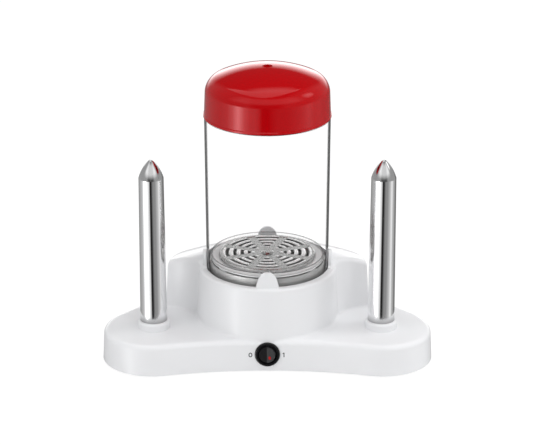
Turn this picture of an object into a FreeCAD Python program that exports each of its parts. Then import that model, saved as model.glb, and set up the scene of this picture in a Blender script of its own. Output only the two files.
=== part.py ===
import FreeCAD, Part
import math
import os

# Hot dog toaster: a steam cylinder on a moulded base between two heated spikes.
# Millimetres. +X is the user's right, +Y the back, +Z up. The origin is on the table,
# on the axis of the clear cylinder. Every solid is written to its own STEP file.

V = FreeCAD.Vector
X_AXIS = V(1, 0, 0)
Y_AXIS = V(0, 1, 0)
Z_AXIS = V(0, 0, 1)
ORIGIN = V(0, 0, 0)

# ---------------------------------------------------------------- driving dimensions

# spikes
spike_x = 106.8              # each spike stands this far left or right of the cylinder axis
spike_y = -34.9              # and this far in front of it
spike_root_radius = 12.6     # at the collar
spike_neck_radius = 11.6     # where the point begins
spike_neck_height = 179.8
spike_tip_height = 197.3
spike_nose_radius = 3.4
spike_point_bulge = 1.0      # how far the point's flank swells past a straight cone
spike_wall = 0.8

# moulded housing
lobe_radius = 48.2           # foot of the lobe round each spike
front_depth = 70.0           # cylinder axis to the front wall, at its foot
rear_depth = 83.1            # cylinder axis to the rear wall, at its foot
flank_angle = 42.0           # where the rear flank leaves the lobe, from +X
rear_corner_radius = 40.0
skirt_gap = 1.5              # table to the skirt's lower edge
base_top = 31.0              # flat top of the lobes
base_edge_radius = 5.0
draft = 3.0                  # degrees, on every moulded wall
wall = 2.5
drum_radius = 65.0           # at the rim
rim_height = 80.6
rim_edge_radius = 2.5
foot_fillet = 3.0            # where drum and shoulder grow out of the base
collar_height = 38.8
collar_radius = 15.0
collar_edge_radius = 2.4

# shoulder behind the spikes
shoulder_radius = 96.0       # side wall about the cylinder axis, level with the cylinder's seat
shoulder_step = 7.4          # base's rear wall to the shoulder's rear wall
shoulder_corner_radius = 35.0
shoulder_front = -12.7       # y of its hidden front face, inside the drum
shoulder_edge_radius = 4.0
crown_rise = 13.0            # rim to the top of the barrel-shaped crown, over the cylinder axis
crown_y = 6.5
crown_side_radius = 131.2    # crown seen from the side
crown_front_radius = 283.0   # crown seen from the front
runout_angle = 28.0          # slope that brings the shoulder down to the rim
runout_y = -15.0
scoop_radius = 48.0          # clearance for a bread roll round each spike, at its foot

# cylinder seat and guide tabs
seat_depth = 5.6             # rim to the ledge that the clear cylinder stands on
seat_clearance = 0.6
dish_opening_radius = 51.5   # hole in the ledge
tab_thickness = 2.6
tab_rise = 15.8              # rim to the top of a tab
tab_half_width = 10.8        # at the rim
tab_shoulder_half_width = 8.2
tab_shoulder_rise = 9.0      # rim to where a tab's top starts to round
tab_count = 4

# clear cylinder
glass_foot_radius = 57.56
glass_top_radius = 58.7
glass_length = 154.0         # seat to its top edge
glass_wall = 2.3

# lid
lid_rim_radius = 59.4
lid_bead_height = 1.6
lid_side_radius = 58.7       # just above the bead
lid_side_height = 22.0       # cylinder's top edge to where the shoulder starts
lid_shoulder_side_radius = 57.9
lid_shoulder_radius = 16.5
lid_dome_rise = 25.2         # from there to the crown
lid_wall = 2.2
lid_plug_depth = 1.8         # how far the plug reaches into the cylinder
lid_plug_gap = 0.5
lid_plug_height = 6.0
vent_recess_radius = 4.8
vent_recess_depth = 1.6
vent_radius = 2.6

# boiler dish
dish_depth = 11.0            # step to the floor
dish_sheet = 1.0
dish_well_radius = 49.4      # outside
dish_rim_radius = 54.5       # outside
dish_rim_rise = 10.0         # step to the top of the standing rim
dish_floor_round = 5.0
gasket_thickness = 1.0
gasket_sleeve_depth = 3.0

# steam tray and grid
tray_gap = 0.6               # dish rim to the tray's underside
tray_floor_thickness = 1.4
tray_rim_radius = 53.4
tray_depth = 5.0
tray_rim_wall = 1.6
tray_hole_radius = 42.6
tray_fence_height = 1.4
tray_foot_angle = 37.0       # each foot, measured from the X axis
tray_foot_span = 10.0        # degrees
tray_foot_thickness = 2.2
grid_radius = 44.7
grid_skirt_height = 3.6
grid_sheet = 0.9
grid_rim_land = 3.0
grid_slot_radii = [38.2, 30.9, 23.9, 17.0]
grid_slot_width = 2.9
grid_spoke_count = 8
grid_spoke_width = 7.6
grid_boss_radius = 6.0
grid_boss_height = 1.3

# heater under the dish
heat_plate_radius = 43.0
heat_plate_thickness = 3.6
element_ring_radius = 32.0
element_tube_radius = 3.3
element_gap_angle = 50.0     # the ring is open here, for its two ends
element_bend = 6.0           # radius of the bends at its two ends
element_leg = 8.0
strap_width = 16.0
strap_thickness = 1.5
strap_drop = 20.0            # ledge to the strap's feet
strap_screw_x = 57.4
strap_boss_radius = 4.0
thermostat_radius = 7.8
thermostat_y = 18.4
fuse_y = -18.4
fuse_radius = 2.1
fuse_length = 13.0

# spike mounting and heaters
flange_height = 20.4         # underside of the flange
flange_thickness = 1.5
flange_radius = 23.0
flange_cup_depth = 7.4
flange_screw_radius = 19.0
flange_boss_radius = 3.2
flange_screw_count = 3
spike_heater_radius = 8.0
spike_heater_length = 132.0
spike_heater_disc = 3.0

# rocker switch
switch_height = 17.7
switch_seat_depth = 0.3      # flat spot sunk into the hollow front wall
bezel_radius = 11.75
bezel_thickness = 2.2
bezel_opening_radius = 8.75
switch_barrel_radius = 9.9
switch_barrel_depth = 18.0
rocker_ball_radius = 8.45
rocker_face_angle = 7.0      # each half of the rocker's face slopes by this
rocker_tilt = 8.0            # either side of centre; at rest the OFF side is in
rocker_pivot_depth = 1.0     # behind the wall
rocker_face_height = 3.4     # pivot to the face's centre line
rocker_pin_radius = 1.2
rocker_pin_gap = 0.05
lens_x = 2.6
lens_z = -2.7
lens_half_width = 1.2
lens_half_height = 1.6
lens_depth = 1.6
blade_count = 3

# base plate, feet and fasteners
plate_bottom = 2.5
plate_thickness = 2.0
plate_gap = 0.3
pad_radius = 7.0
pad_stem_radius = 2.9
pad_head_radius = 4.2
pad_head_height = 1.9
foot_front_x = 118.0
foot_front_y = -58.0
foot_rear_x = 52.0
foot_rear_y = 58.0
lobe_screw_angle = -35.0     # about the spike, from +X
lobe_screw_offset = 32.0
front_screw_x = 38.0
screw_inset = 6.0            # front and rear boss axes to the outer skirt
rear_screw_x = 52.0
plate_boss_radius = 4.5
screw_radius = 1.5
screw_clearance = 0.2
screw_head_radius = 3.1
screw_head_height = 1.8
screw_length = 8.0
slot_count = 7
slot_length = 44.0
slot_width = 3.0
slot_pitch = 8.0

# inlet and terminal block
gland_height = 15.0
gland_bore_radius = 3.6
gland_radius = 5.5
gland_flange_radius = 8.0
gland_flange = 1.0
gland_pocket = 1.2
block_y = 48.0
block_length = 27.0
block_depth = 15.0
block_height = 13.0
block_pitch = 9.0


# ---------------------------------------------------------------- helpers

def line(a, b):
    return Part.LineSegment(a, b).toShape()


def arc(a, through, b):
    return Part.Arc(a, through, b).toShape()


def rz(radius, height):
    """A point of a revolved profile."""
    return V(radius, 0, height)


def polygon(points):
    return Part.makePolygon(points + [points[0]])


def spin(wire, centre=ORIGIN, axis=Z_AXIS, angle=360.0):
    """Solid of revolution of a closed wire."""
    return Part.Face(wire).revolve(centre, axis, angle)


def spin_points(points):
    return spin(polygon([rz(r, z) for r, z in points]))


def tube(outer, inner, bottom, top, x=0.0, y=0.0):
    place = V(x, y, bottom)
    return Part.makeCylinder(outer, top - bottom, place).cut(Part.makeCylinder(inner, top - bottom, place))


def post(radius, bottom, top, x=0.0, y=0.0):
    return Part.makeCylinder(radius, top - bottom, V(x, y, bottom))


def middle(edge):
    return edge.valueAt((edge.FirstParameter + edge.LastParameter) / 2)


def mirrored(point):
    return V(-point.x, point.y, point.z)


def drafted(height):
    """Sideways run of a drafted wall over this height."""
    return height * math.tan(math.radians(draft))


def fuse_all(shapes):
    result = shapes[0]
    for shape in shapes[1:]:
        result = result.fuse(shape)
    return result


def cut_all(shape, tools):
    for tool in tools:
        shape = shape.cut(tool)
    return shape


def ring_edges(shape, radius, height):
    """Circular edges about Z of this radius at this height."""
    found = []
    for edge in shape.Edges:
        point = middle(edge)
        on_circle = abs(math.hypot(point.x, point.y) - radius) < 0.02
        if on_circle and abs(point.z - height) < 0.02 and edge.BoundBox.ZLength < 0.02:
            found.append(edge)
    return found


def round_rings(shape, rings):
    """Fillet circular edges given as (radius, height, fillet)."""
    for radius, height, size in rings:
        shape = shape.makeFillet(size, ring_edges(shape, radius, height))
    return shape


def shared_edges(shape, first, second):
    """Edges of a shape that lie on the skins of both of the solids that made it."""
    skins = [Part.makeCompound(first.Faces), Part.makeCompound(second.Faces)]
    found = []
    for edge in shape.Edges:
        span = edge.LastParameter - edge.FirstParameter
        samples = [edge.valueAt(edge.FirstParameter + span * share) for share in (0.02, 0.5, 0.98)]
        gaps = [Part.Vertex(point).distToShape(skin)[0] for point in samples for skin in skins]
        if max(gaps) < 0.01:
            found.append(edge)
    return found


def both_sides(shape):
    """A shape and its mirror image about the YZ plane."""
    return [shape, shape.mirror(ORIGIN, X_AXIS)]


def around(shape, count, x=0.0, y=0.0, start=0.0):
    """Copies of a shape turned about a vertical axis."""
    copies = []
    for index in range(count):
        turned = shape.copy()
        turned.rotate(V(x, y, 0), Z_AXIS, start + index * 360.0 / count)
        copies.append(turned)
    return copies


def moved(shape, x, y, z):
    shape = shape.copy()
    shape.translate(V(x, y, z))
    return shape


# ---------------------------------------------------------------- derived places

plate_top = plate_bottom + plate_thickness
seat_height = rim_height - seat_depth
crown_height = rim_height + crown_rise
tab_top = rim_height + tab_rise
tab_shoulder_height = rim_height + tab_shoulder_rise
shoulder_rear = rear_depth - shoulder_step
ledge_underside = seat_height - wall
roof_underside = base_top - wall
seat_radius = glass_foot_radius + seat_clearance
dish_step = seat_height + gasket_thickness + dish_sheet
dish_floor = dish_step - dish_depth
dish_rim_height = dish_step + dish_rim_rise
dish_underside = dish_floor - dish_sheet
heat_plate_bottom = dish_underside - heat_plate_thickness
element_centre = heat_plate_bottom - element_tube_radius + 1.2
upper_foot = base_top + foot_fillet + 0.5   # where drum and shoulder are told apart from the base
strap_top = element_centre - element_tube_radius
strap_foot_height = ledge_underside - strap_drop
tray_floor = dish_rim_height + tray_gap
tray_rim_height = tray_floor + tray_depth
glass_height = seat_height + glass_length
lid_shoulder_start = glass_height + lid_side_height
lid_crown = lid_shoulder_start + lid_dome_rise
switch_y = -front_depth + drafted(switch_height - skirt_gap) + switch_seat_depth
gland_y = rear_depth - drafted(gland_height - skirt_gap)
flange_top = flange_height + flange_thickness
flange_floor = flange_height - flange_cup_depth + flange_thickness
rear_screw_y = rear_depth - screw_inset - drafted(roof_underside)
rear_member_y = rear_screw_y - plate_boss_radius - 0.5   # where the rear wall is told apart from the base


def base_outline(inset, height):
    """Plan of the base: two lobes, a hollow front, straight flanks and a flat rear."""
    lobe = lobe_radius - inset
    lobe_reach = front_depth + spike_y
    front_radius = (spike_x ** 2 + lobe_reach ** 2 - lobe_radius ** 2) / (2 * (lobe_radius - lobe_reach))
    front_centre = -front_depth - front_radius
    hollow = front_radius + inset
    to_lobe = math.hypot(spike_x, spike_y - front_centre)
    turn = math.radians(flank_angle)
    normal_x = math.cos(turn)
    normal_y = math.sin(turn)
    flank_offset = spike_x * normal_x + spike_y * normal_y + lobe_radius
    corner_y = rear_depth - rear_corner_radius
    corner_x = (flank_offset - rear_corner_radius - corner_y * normal_y) / normal_x
    corner = rear_corner_radius - inset
    front_end = V(spike_x * hollow / to_lobe, front_centre + (spike_y - front_centre) * hollow / to_lobe, height)
    front_turn = math.atan2(front_end.y - spike_y, front_end.x - spike_x)
    half_turn = (front_turn + turn) / 2
    lobe_mid = V(spike_x + lobe * math.cos(half_turn), spike_y + lobe * math.sin(half_turn), height)
    flank_start = V(spike_x + lobe * normal_x, spike_y + lobe * normal_y, height)
    flank_end = V(corner_x + corner * normal_x, corner_y + corner * normal_y, height)
    corner_turn = (turn + math.pi / 2) / 2
    corner_mid = V(corner_x + corner * math.cos(corner_turn), corner_y + corner * math.sin(corner_turn), height)
    rear_end = V(corner_x, corner_y + corner, height)
    return Part.Wire([
        arc(mirrored(front_end), V(0, front_centre + hollow, height), front_end),
        arc(front_end, lobe_mid, flank_start),
        line(flank_start, flank_end),
        arc(flank_end, corner_mid, rear_end),
        line(rear_end, mirrored(rear_end)),
        arc(mirrored(rear_end), mirrored(corner_mid), mirrored(flank_end)),
        line(mirrored(flank_end), mirrored(flank_start)),
        arc(mirrored(flank_start), mirrored(lobe_mid), mirrored(front_end)),
    ])


def base_slab(inset, bottom, top):
    """Drafted block on the base outline, set in from the outer wall."""
    lower = base_outline(inset + drafted(bottom - skirt_gap), bottom)
    upper = base_outline(inset + drafted(top - skirt_gap), top)
    return Part.makeLoft([lower, upper], True, True)


def shoulder_outline(inset, height):
    """Plan of the shoulder: side arcs about the cylinder, rounded corners and a flat rear."""
    side = shoulder_radius - inset
    corner = shoulder_corner_radius - inset
    corner_y = shoulder_rear - shoulder_corner_radius
    corner_reach = shoulder_radius - shoulder_corner_radius
    corner_x = math.sqrt(corner_reach ** 2 - corner_y ** 2)
    corner_turn = math.atan2(corner_y, corner_x)
    side_start = V(math.sqrt(side ** 2 - shoulder_front ** 2), shoulder_front, height)
    side_turn = (math.atan2(shoulder_front, side_start.x) + corner_turn) / 2
    side_mid = V(side * math.cos(side_turn), side * math.sin(side_turn), height)
    side_end = V(side * math.cos(corner_turn), side * math.sin(corner_turn), height)
    mid_turn = (corner_turn + math.pi / 2) / 2
    corner_mid = V(corner_x + corner * math.cos(mid_turn), corner_y + corner * math.sin(mid_turn), height)
    rear_end = V(corner_x, corner_y + corner, height)
    return Part.Wire([
        line(mirrored(side_start), side_start),
        arc(side_start, side_mid, side_end),
        arc(side_end, corner_mid, rear_end),
        line(rear_end, mirrored(rear_end)),
        arc(mirrored(rear_end), mirrored(corner_mid), mirrored(side_end)),
        arc(mirrored(side_end), mirrored(side_mid), mirrored(side_start)),
    ])


def shoulder_block(inset, bottom, top):
    lower = shoulder_outline(inset - drafted(seat_height - bottom), bottom)
    upper = shoulder_outline(inset - drafted(seat_height - top), top)
    return Part.makeLoft([lower, upper], True, True)


def crown_barrel(inset):
    """Barrel whose top is the shoulder's crown: an arc seen from the front, spun about X."""
    axis_height = crown_height - crown_side_radius
    side = crown_side_radius - inset
    front = crown_front_radius - inset
    reach = shoulder_radius + wall * 4
    end_radius = side - front + math.sqrt(front ** 2 - reach ** 2)
    left = V(-reach, crown_y, axis_height)
    right = V(reach, crown_y, axis_height)
    left_low = V(-reach, crown_y, axis_height - end_radius)
    right_low = V(reach, crown_y, axis_height - end_radius)
    lowest = V(0, crown_y, axis_height - side)
    profile = Part.Wire([line(left, left_low), arc(left_low, lowest, right_low), line(right_low, right), line(right, left)])
    return spin(profile, V(0, crown_y, axis_height), X_AXIS)


def runout_wedge():
    """What is cut off the front of the shoulder, so that it sinks to the rim."""
    slope = math.tan(math.radians(runout_angle))
    reach = shoulder_radius + wall * 4
    low = V(-reach, runout_y - 8, rim_height - 0.6 - 8 * slope)
    high = V(-reach, runout_y + 24, rim_height - 0.6 + 24 * slope)
    corner = V(-reach, low.y, high.z)
    return Part.Face(polygon([low, high, corner])).extrude(V(2 * reach, 0, 0))


def scoops(extra, bottom, top):
    """Drafted clearances round both spikes."""
    radius = scoop_radius + extra + drafted(bottom - base_top)
    cone = Part.makeCone(radius, radius + drafted(top - bottom), top - bottom, V(spike_x, spike_y, bottom))
    return both_sides(cone)


def shoulder_form():
    """Outer form of the shoulder, with its top edges rounded."""
    block = shoulder_block(0, base_top - wall, crown_height + 2)
    crown = crown_barrel(0)
    form = block.common(crown).cut(runout_wedge())
    clear = scoops(0, base_top - 2 * wall, crown_height + 2)
    scooped = cut_all(form, clear)
    edges = [e for e in shared_edges(scooped, crown, block) if middle(e).y > crown_y]
    for scoop in clear:
        edges += [e for e in shared_edges(scooped, scoop, form) if middle(e).z > (base_top + rim_height) / 2]
    return scooped.makeFillet(shoulder_edge_radius, edges)


def drum_form():
    low = base_top - 2 * wall
    cone = Part.makeCone(drum_radius + drafted(rim_height - low), drum_radius, rim_height - low, V(0, 0, low))
    return round_rings(cone, [(drum_radius, rim_height, rim_edge_radius)])


def base_form():
    slab = base_slab(0, skirt_gap, base_top)
    edges = [e for e in slab.Edges if e.BoundBox.ZLength < 0.01 and abs(middle(e).z - base_top) < 0.01]
    return slab.makeFillet(base_edge_radius, edges)


def outer_form():
    """Everything that is seen of the housing before its collars and tabs."""
    upper = drum_form().fuse(shoulder_form())
    base = base_form()
    whole = upper.fuse(base).removeSplitter()
    return whole.makeFillet(foot_fillet, shared_edges(whole, upper, base))


def inner_form():
    """The hollow inside the housing, one wall in from the outside."""
    slab = base_slab(wall, skirt_gap - 1, roof_underside)
    drum_low = roof_underside - wall
    drum_top = ledge_underside
    radius = drum_radius - wall + drafted(rim_height - drum_top)
    drum = Part.makeCone(radius + drafted(drum_top - drum_low), radius, drum_top - drum_low, V(0, 0, drum_low))
    shoulder = shoulder_block(wall, drum_low, crown_height).common(crown_barrel(wall))
    shoulder = cut_all(shoulder, scoops(wall, drum_low - 1, crown_height + 2))
    shoulder = shoulder.cut(post(seat_radius + wall, ledge_underside, crown_height + 2))
    return fuse_all([slab, drum, shoulder])


def guide_tab():
    """Tongue that stands beside the clear cylinder, here at the front."""
    outer = seat_radius + tab_thickness
    ring = tube(outer, seat_radius, ledge_underside, tab_top)
    foot = V(tab_half_width, 0, ledge_underside)
    rim = V(tab_half_width, 0, rim_height)
    side = V(tab_shoulder_half_width, 0, tab_shoulder_height)
    crest = V(0, 0, tab_top)
    rise = tab_top - tab_shoulder_height
    bulge = V(tab_shoulder_half_width * 0.72, 0, tab_shoulder_height + rise * 0.72)
    left = [mirrored(point) for point in (foot, rim, side)]
    outline = Part.Wire([
        line(left[0], foot),
        line(foot, rim),
        line(rim, side),
        Part.BSplineCurve([side, bulge, crest, mirrored(bulge), left[2]]).toShape(),
        line(left[2], left[1]),
        line(left[1], left[0]),
    ])
    tongue = Part.Face(outline).extrude(V(0, -outer - 1, 0))
    return ring.common(tongue)


def flange_screw_places():
    places = []
    for index in range(flange_screw_count):
        turn = math.radians(90 + index * 360.0 / flange_screw_count)
        x = spike_x + flange_screw_radius * math.cos(turn)
        y = spike_y + flange_screw_radius * math.sin(turn)
        places += [(x, y), (-x, y)]
    return places


def plate_screw_places():
    turn = math.radians(lobe_screw_angle)
    lobe = (spike_x + lobe_screw_offset * math.cos(turn), spike_y + lobe_screw_offset * math.sin(turn))
    front = (front_screw_x, screw_inset - front_depth)
    rear = (rear_screw_x, rear_screw_y)
    return [(side * x, y) for x, y in (lobe, front, rear) for side in (1, -1)]


def switch_frame(shape):
    """Move a shape from the switch's own frame, outward along -Y, onto the drafted front wall."""
    shape = shape.copy()
    shape.rotate(ORIGIN, X_AXIS, -draft)
    shape.translate(V(0, switch_y, switch_height))
    return shape


def inward(radius, outer, inner):
    """Cylinder in the switch's frame, from `outer` in front of the wall to `inner` behind it."""
    return Part.makeCylinder(radius, outer + inner, V(0, -outer, 0), Y_AXIS)


def collars():
    """Raised rings that the spikes stand in."""
    collar = tube(collar_radius, spike_root_radius, roof_underside + wall / 2, collar_height, spike_x, spike_y)
    crest = [e for e in collar.Edges if abs(middle(e).z - collar_height) < 0.01
             and abs(math.hypot(middle(e).x - spike_x, middle(e).y - spike_y) - collar_radius) < 0.01]
    crest_radius = min(collar_edge_radius, (collar_radius - spike_root_radius) * 0.95)
    return both_sides(collar.makeFillet(crest_radius, crest))


def strap_bosses():
    foot = strap_foot_height + strap_thickness
    return both_sides(post(strap_boss_radius, foot, seat_height - wall / 2, strap_screw_x))


def housing_cuts():
    """Everything that is bored or sunk into the moulding."""
    cuts = [post(seat_radius, seat_height, crown_height + 10)]
    cuts.append(post(dish_opening_radius, ledge_underside - wall, seat_height + 1))
    cuts += both_sides(post(spike_root_radius + 0.1, flange_height, collar_height + 1, spike_x, spike_y))
    cuts.append(switch_frame(inward(bezel_radius + 0.1, 5, 0)))
    cuts.append(switch_frame(inward(switch_barrel_radius + 0.1, 1, wall + 5)))
    cuts.append(Part.makeCylinder(gland_radius + 0.1, wall * 4, V(0, gland_y - wall * 2, gland_height), Y_AXIS))
    cuts.append(Part.makeCylinder(gland_flange_radius + 0.1, wall * 2,
                                  V(0, gland_y - gland_pocket, gland_height), Y_AXIS))
    pilot = screw_radius - 0.05
    for x, y in plate_screw_places():
        cuts.append(post(pilot, plate_top - 1, plate_top + screw_length - plate_thickness + 1, x, y))
    for x, y in flange_screw_places():
        cuts.append(post(pilot, flange_top - 1, roof_underside, x, y))
    cuts += both_sides(post(pilot, strap_foot_height, strap_foot_height + screw_length + 1, strap_screw_x))
    return cuts


def moulding():
    """The whole white moulding, before it is told apart into its members."""
    outer = outer_form()
    body = outer.cut(inner_form())
    bosses = [post(plate_boss_radius, plate_top, roof_underside + wall / 2, x, y) for x, y in plate_screw_places()]
    bosses += [post(flange_boss_radius, flange_top, roof_underside + wall / 2, x, y)
               for x, y in flange_screw_places()]
    bosses += strap_bosses()
    body = fuse_all([body] + [boss.common(outer) for boss in bosses])
    body = cut_all(fuse_all([body] + collars()), housing_cuts())
    return fuse_all([body] + around(guide_tab(), tab_count))


def moulding_members():
    """One moulding as six members that meet face to face."""
    reach = 2 * (spike_x + lobe_radius)
    seat_zone = post(seat_radius + max(wall, tab_thickness), ledge_underside, tab_top + crown_height)
    strap_zone = both_sides(post(strap_boss_radius, strap_foot_height, seat_height, strap_screw_x))
    seat_zone = fuse_all([seat_zone] + strap_zone)
    collar_zone = fuse_all(both_sides(post(collar_radius + 1, base_top, collar_height + 1, spike_x, spike_y)))
    base_zone = Part.makeBox(2 * reach, 2 * reach, upper_foot, V(-reach, -reach, 0))
    rear_zone = Part.makeBox(2 * reach, reach, upper_foot, V(-reach, rear_member_y, 0))
    front_zone = Part.makeBox(2 * reach, reach, 2 * crown_height, V(-reach, shoulder_front - reach, 0))
    whole = moulding()
    walls = whole.cut(seat_zone).cut(collar_zone)
    lower = walls.common(base_zone)
    upper = walls.cut(base_zone)
    return {
        "housing": lower.cut(rear_zone),
        "housing_rear": lower.common(rear_zone),
        "housing_drum": upper.common(front_zone),
        "housing_shoulder": upper.cut(front_zone),
        "spike_collars": whole.common(collar_zone),
        "cylinder_seat": whole.common(seat_zone),
    }


# ---------------------------------------------------------------- base plate, feet, fasteners

def foot_places():
    return [(side * x, y) for x, y in ((foot_front_x, foot_front_y), (foot_rear_x, foot_rear_y)) for side in (1, -1)]


def base_plate():
    inset = wall + plate_gap + drafted(plate_top - skirt_gap)
    plate = Part.Face(base_outline(inset, plate_bottom)).extrude(V(0, 0, plate_thickness))
    holes = [post(screw_radius + screw_clearance, plate_bottom - 1, plate_top + 1, x, y)
             for x, y in plate_screw_places()]
    holes += [post(pad_stem_radius + 0.1, plate_bottom - 1, plate_top + 1, x, y) for x, y in foot_places()]
    for index in range(slot_count):
        y = (index - (slot_count - 1) / 2) * slot_pitch
        bar = Part.makeBox(slot_length, slot_width, plate_thickness + 2, V(-slot_length / 2, y - slot_width / 2,
                                                                           plate_bottom - 1))
        holes.append(bar)
    return cut_all(plate, holes)


def rubber_feet():
    pad = spin_points([(0, 0), (pad_radius - 0.8, 0), (pad_radius, 0.8), (pad_radius, plate_bottom),
                       (pad_stem_radius, plate_bottom), (pad_stem_radius, plate_top),
                       (pad_head_radius, plate_top), (pad_stem_radius, plate_top + pad_head_height),
                       (0, plate_top + pad_head_height)])
    return Part.makeCompound([moved(pad, x, y, 0) for x, y in foot_places()])


def screw(length):
    """Pan-head screw, head down, with the underside of its head at height zero."""
    return spin_points([(0, -screw_head_height), (screw_head_radius * 0.7, -screw_head_height),
                        (screw_head_radius, -screw_head_height * 0.45), (screw_head_radius, 0),
                        (screw_radius - 0.1, 0), (screw_radius - 0.1, length - 1.2), (0.4, length), (0, length)])


def screws(places, height, length):
    return Part.makeCompound([moved(screw(length), x, y, height) for x, y in places])


# ---------------------------------------------------------------- spikes

def spike_radius_at(height):
    share = (height - collar_height) / (spike_neck_height - collar_height)
    return spike_root_radius + (spike_neck_radius - spike_root_radius) * share


def spike_profile(inset, foot):
    """Half section of the tapered tube and its rounded point, set in by the sheet's thickness."""
    root = spike_root_radius - inset
    neck = rz(spike_neck_radius - inset, spike_neck_height)
    tip = rz(0, spike_tip_height - inset)
    nose = max(spike_nose_radius - inset, 0.6)
    rise = spike_tip_height - spike_neck_height
    lean = math.atan2(spike_neck_radius, rise)
    nose_end = rz(nose * math.cos(lean), tip.z - nose + nose * math.sin(lean))
    flank_mid = (neck + nose_end) * 0.5 + rz(math.cos(lean), math.sin(lean)) * spike_point_bulge
    half = (lean + math.pi / 2) / 2
    nose_mid = rz(nose * math.cos(half), tip.z - nose + nose * math.sin(half))
    return Part.Wire([
        line(rz(0, foot), rz(root, foot)),
        line(rz(root, foot), rz(root, collar_height)),
        line(rz(root, collar_height), neck),
        arc(neck, flank_mid, nose_end),
        arc(nose_end, nose_mid, tip),
        line(tip, rz(0, foot)),
    ])


def spike():
    tube_foot = flange_floor
    shell = spin(spike_profile(0, tube_foot)).cut(spin(spike_profile(spike_wall, tube_foot - 1)))
    return moved(shell, spike_x, spike_y, 0)


def spike_flange():
    """Steel cup that holds the foot of the spike against the underside of the lobe."""
    bore = spike_root_radius + 0.05
    cup = bore + flange_thickness
    cup_bottom = flange_floor - flange_thickness
    body = spin_points([(5.0, cup_bottom), (cup, cup_bottom), (cup, flange_height), (flange_radius, flange_height),
                        (flange_radius, flange_top), (bore, flange_top), (bore, flange_floor), (5.0, flange_floor)])
    body = moved(body, spike_x, spike_y, 0)
    holes = [post(screw_radius + screw_clearance, flange_height - 1, flange_top + 1, x, y)
             for x, y in flange_screw_places() if x > 0]
    return cut_all(body, holes)


def spike_heater():
    """Ceramic rod with a disc at each end that centres it in the spike."""
    foot = flange_floor
    top = foot + spike_heater_length
    low_disc = spike_root_radius - spike_wall - 0.2
    high_disc = spike_radius_at(top) - spike_wall - 0.2
    step = spike_heater_disc
    rod = spike_heater_radius
    body = spin_points([(2.0, foot), (low_disc, foot), (low_disc, foot + step), (rod, foot + step),
                        (rod, top - step), (high_disc, top - step), (high_disc, top), (2.0, top)])
    return moved(body, spike_x, spike_y, 0)


# ---------------------------------------------------------------- boiler

def boiler_dish():
    """Deep-drawn pan: a well, a step that sits on the gasket, and a standing rim."""
    sheet = dish_sheet
    step_under = dish_step - sheet
    dish = spin_points([(0, dish_underside), (dish_well_radius, dish_underside), (dish_well_radius, step_under),
                        (dish_rim_radius, step_under), (dish_rim_radius, dish_rim_height),
                        (dish_rim_radius - sheet, dish_rim_height), (dish_rim_radius - sheet, dish_step),
                        (dish_well_radius - sheet, dish_step), (dish_well_radius - sheet, dish_floor),
                        (0, dish_floor)])
    return round_rings(dish, [
        (dish_well_radius, dish_underside, dish_floor_round),
        (dish_well_radius - sheet, dish_floor, dish_floor_round - sheet),
        (dish_well_radius - sheet, dish_step, sheet * 0.9),
        (dish_rim_radius, step_under, sheet * 0.9),
    ])


def dish_gasket():
    """Silicone ring with a sleeve that lines the hole in the ledge."""
    inner = dish_well_radius + 0.2
    sleeve = dish_opening_radius - 0.1
    return spin_points([(inner, seat_height - gasket_sleeve_depth), (sleeve, seat_height - gasket_sleeve_depth),
                        (sleeve, seat_height), (dish_rim_radius, seat_height),
                        (dish_rim_radius, seat_height + gasket_thickness), (inner, seat_height + gasket_thickness)])


def element_end(side):
    """Ring end on one side of the gap, with the direction that points into the gap."""
    turn = math.radians(90 - side * element_gap_angle / 2)
    point = V(element_ring_radius * math.cos(turn), element_ring_radius * math.sin(turn), element_centre)
    return point, V(-math.sin(turn), math.cos(turn), 0) * side


def element_tail_path(side):
    """Down-turned end of the element: the foot of its leg, the bend and the ring end."""
    end, into_gap = element_end(side)
    slant = math.sqrt(0.5)
    bend_mid = end + into_gap * (element_bend * slant) - Z_AXIS * (element_bend * (1 - slant))
    bend_low = end + into_gap * element_bend - Z_AXIS * element_bend
    return bend_low - Z_AXIS * element_leg, bend_low, bend_mid, end


def heating_element():
    """Sheathed tube: a ring with a gap at the back, two down-turned ends and their contact pins."""
    foot, low, mid, end = element_tail_path(1)
    far_foot, far_low, far_mid, far_end = element_tail_path(-1)
    front = V(0, -element_ring_radius, element_centre)
    path = Part.Wire([line(foot, low), arc(low, mid, end), arc(end, front, far_end), arc(far_end, far_mid, far_low),
                      line(far_low, far_foot)])
    tube_end = Part.Wire([Part.makeCircle(element_tube_radius, foot, Z_AXIS)])
    body = path.makePipeShell([tube_end], True, False)
    pins = [post(1.2, point.z - 6, point.z + 1, point.x, point.y) for point in (foot, far_foot)]
    return fuse_all([body] + pins)


def heat_plate():
    """Aluminium spreader under the dish, grooved for the element."""
    plate = post(heat_plate_radius, heat_plate_bottom, dish_underside)
    run = 360.0 - element_gap_angle + 2 * math.degrees(element_bend / element_ring_radius)
    section = Part.Wire([Part.makeCircle(element_tube_radius + 0.05, V(element_ring_radius, 0, element_centre), Y_AXIS)])
    groove = spin(section, V(0, 0, element_centre), Z_AXIS, run)
    groove.rotate(ORIGIN, Z_AXIS, 270 - run / 2)
    return plate.cut(groove)


def element_strap():
    """Spring steel strap that presses the element and its plate up against the dish."""
    half = strap_width / 2
    end = strap_screw_x + strap_boss_radius + 1
    run = [(0, strap_top), (element_ring_radius + 6, strap_top), (strap_screw_x - 9, strap_foot_height + strap_thickness),
           (end, strap_foot_height + strap_thickness)]
    top = [V(x, -half, z) for x, z in run]
    bottom = [V(x, -half, z - strap_thickness) for x, z in reversed(run)]
    arm = Part.Face(polygon(top + bottom)).extrude(V(0, strap_width, 0))
    strap = fuse_all(both_sides(arm)).removeSplitter()
    holes = both_sides(post(screw_radius + screw_clearance, strap_foot_height - 1,
                            strap_foot_height + strap_thickness + 1, strap_screw_x))
    return cut_all(strap, holes)


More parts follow.
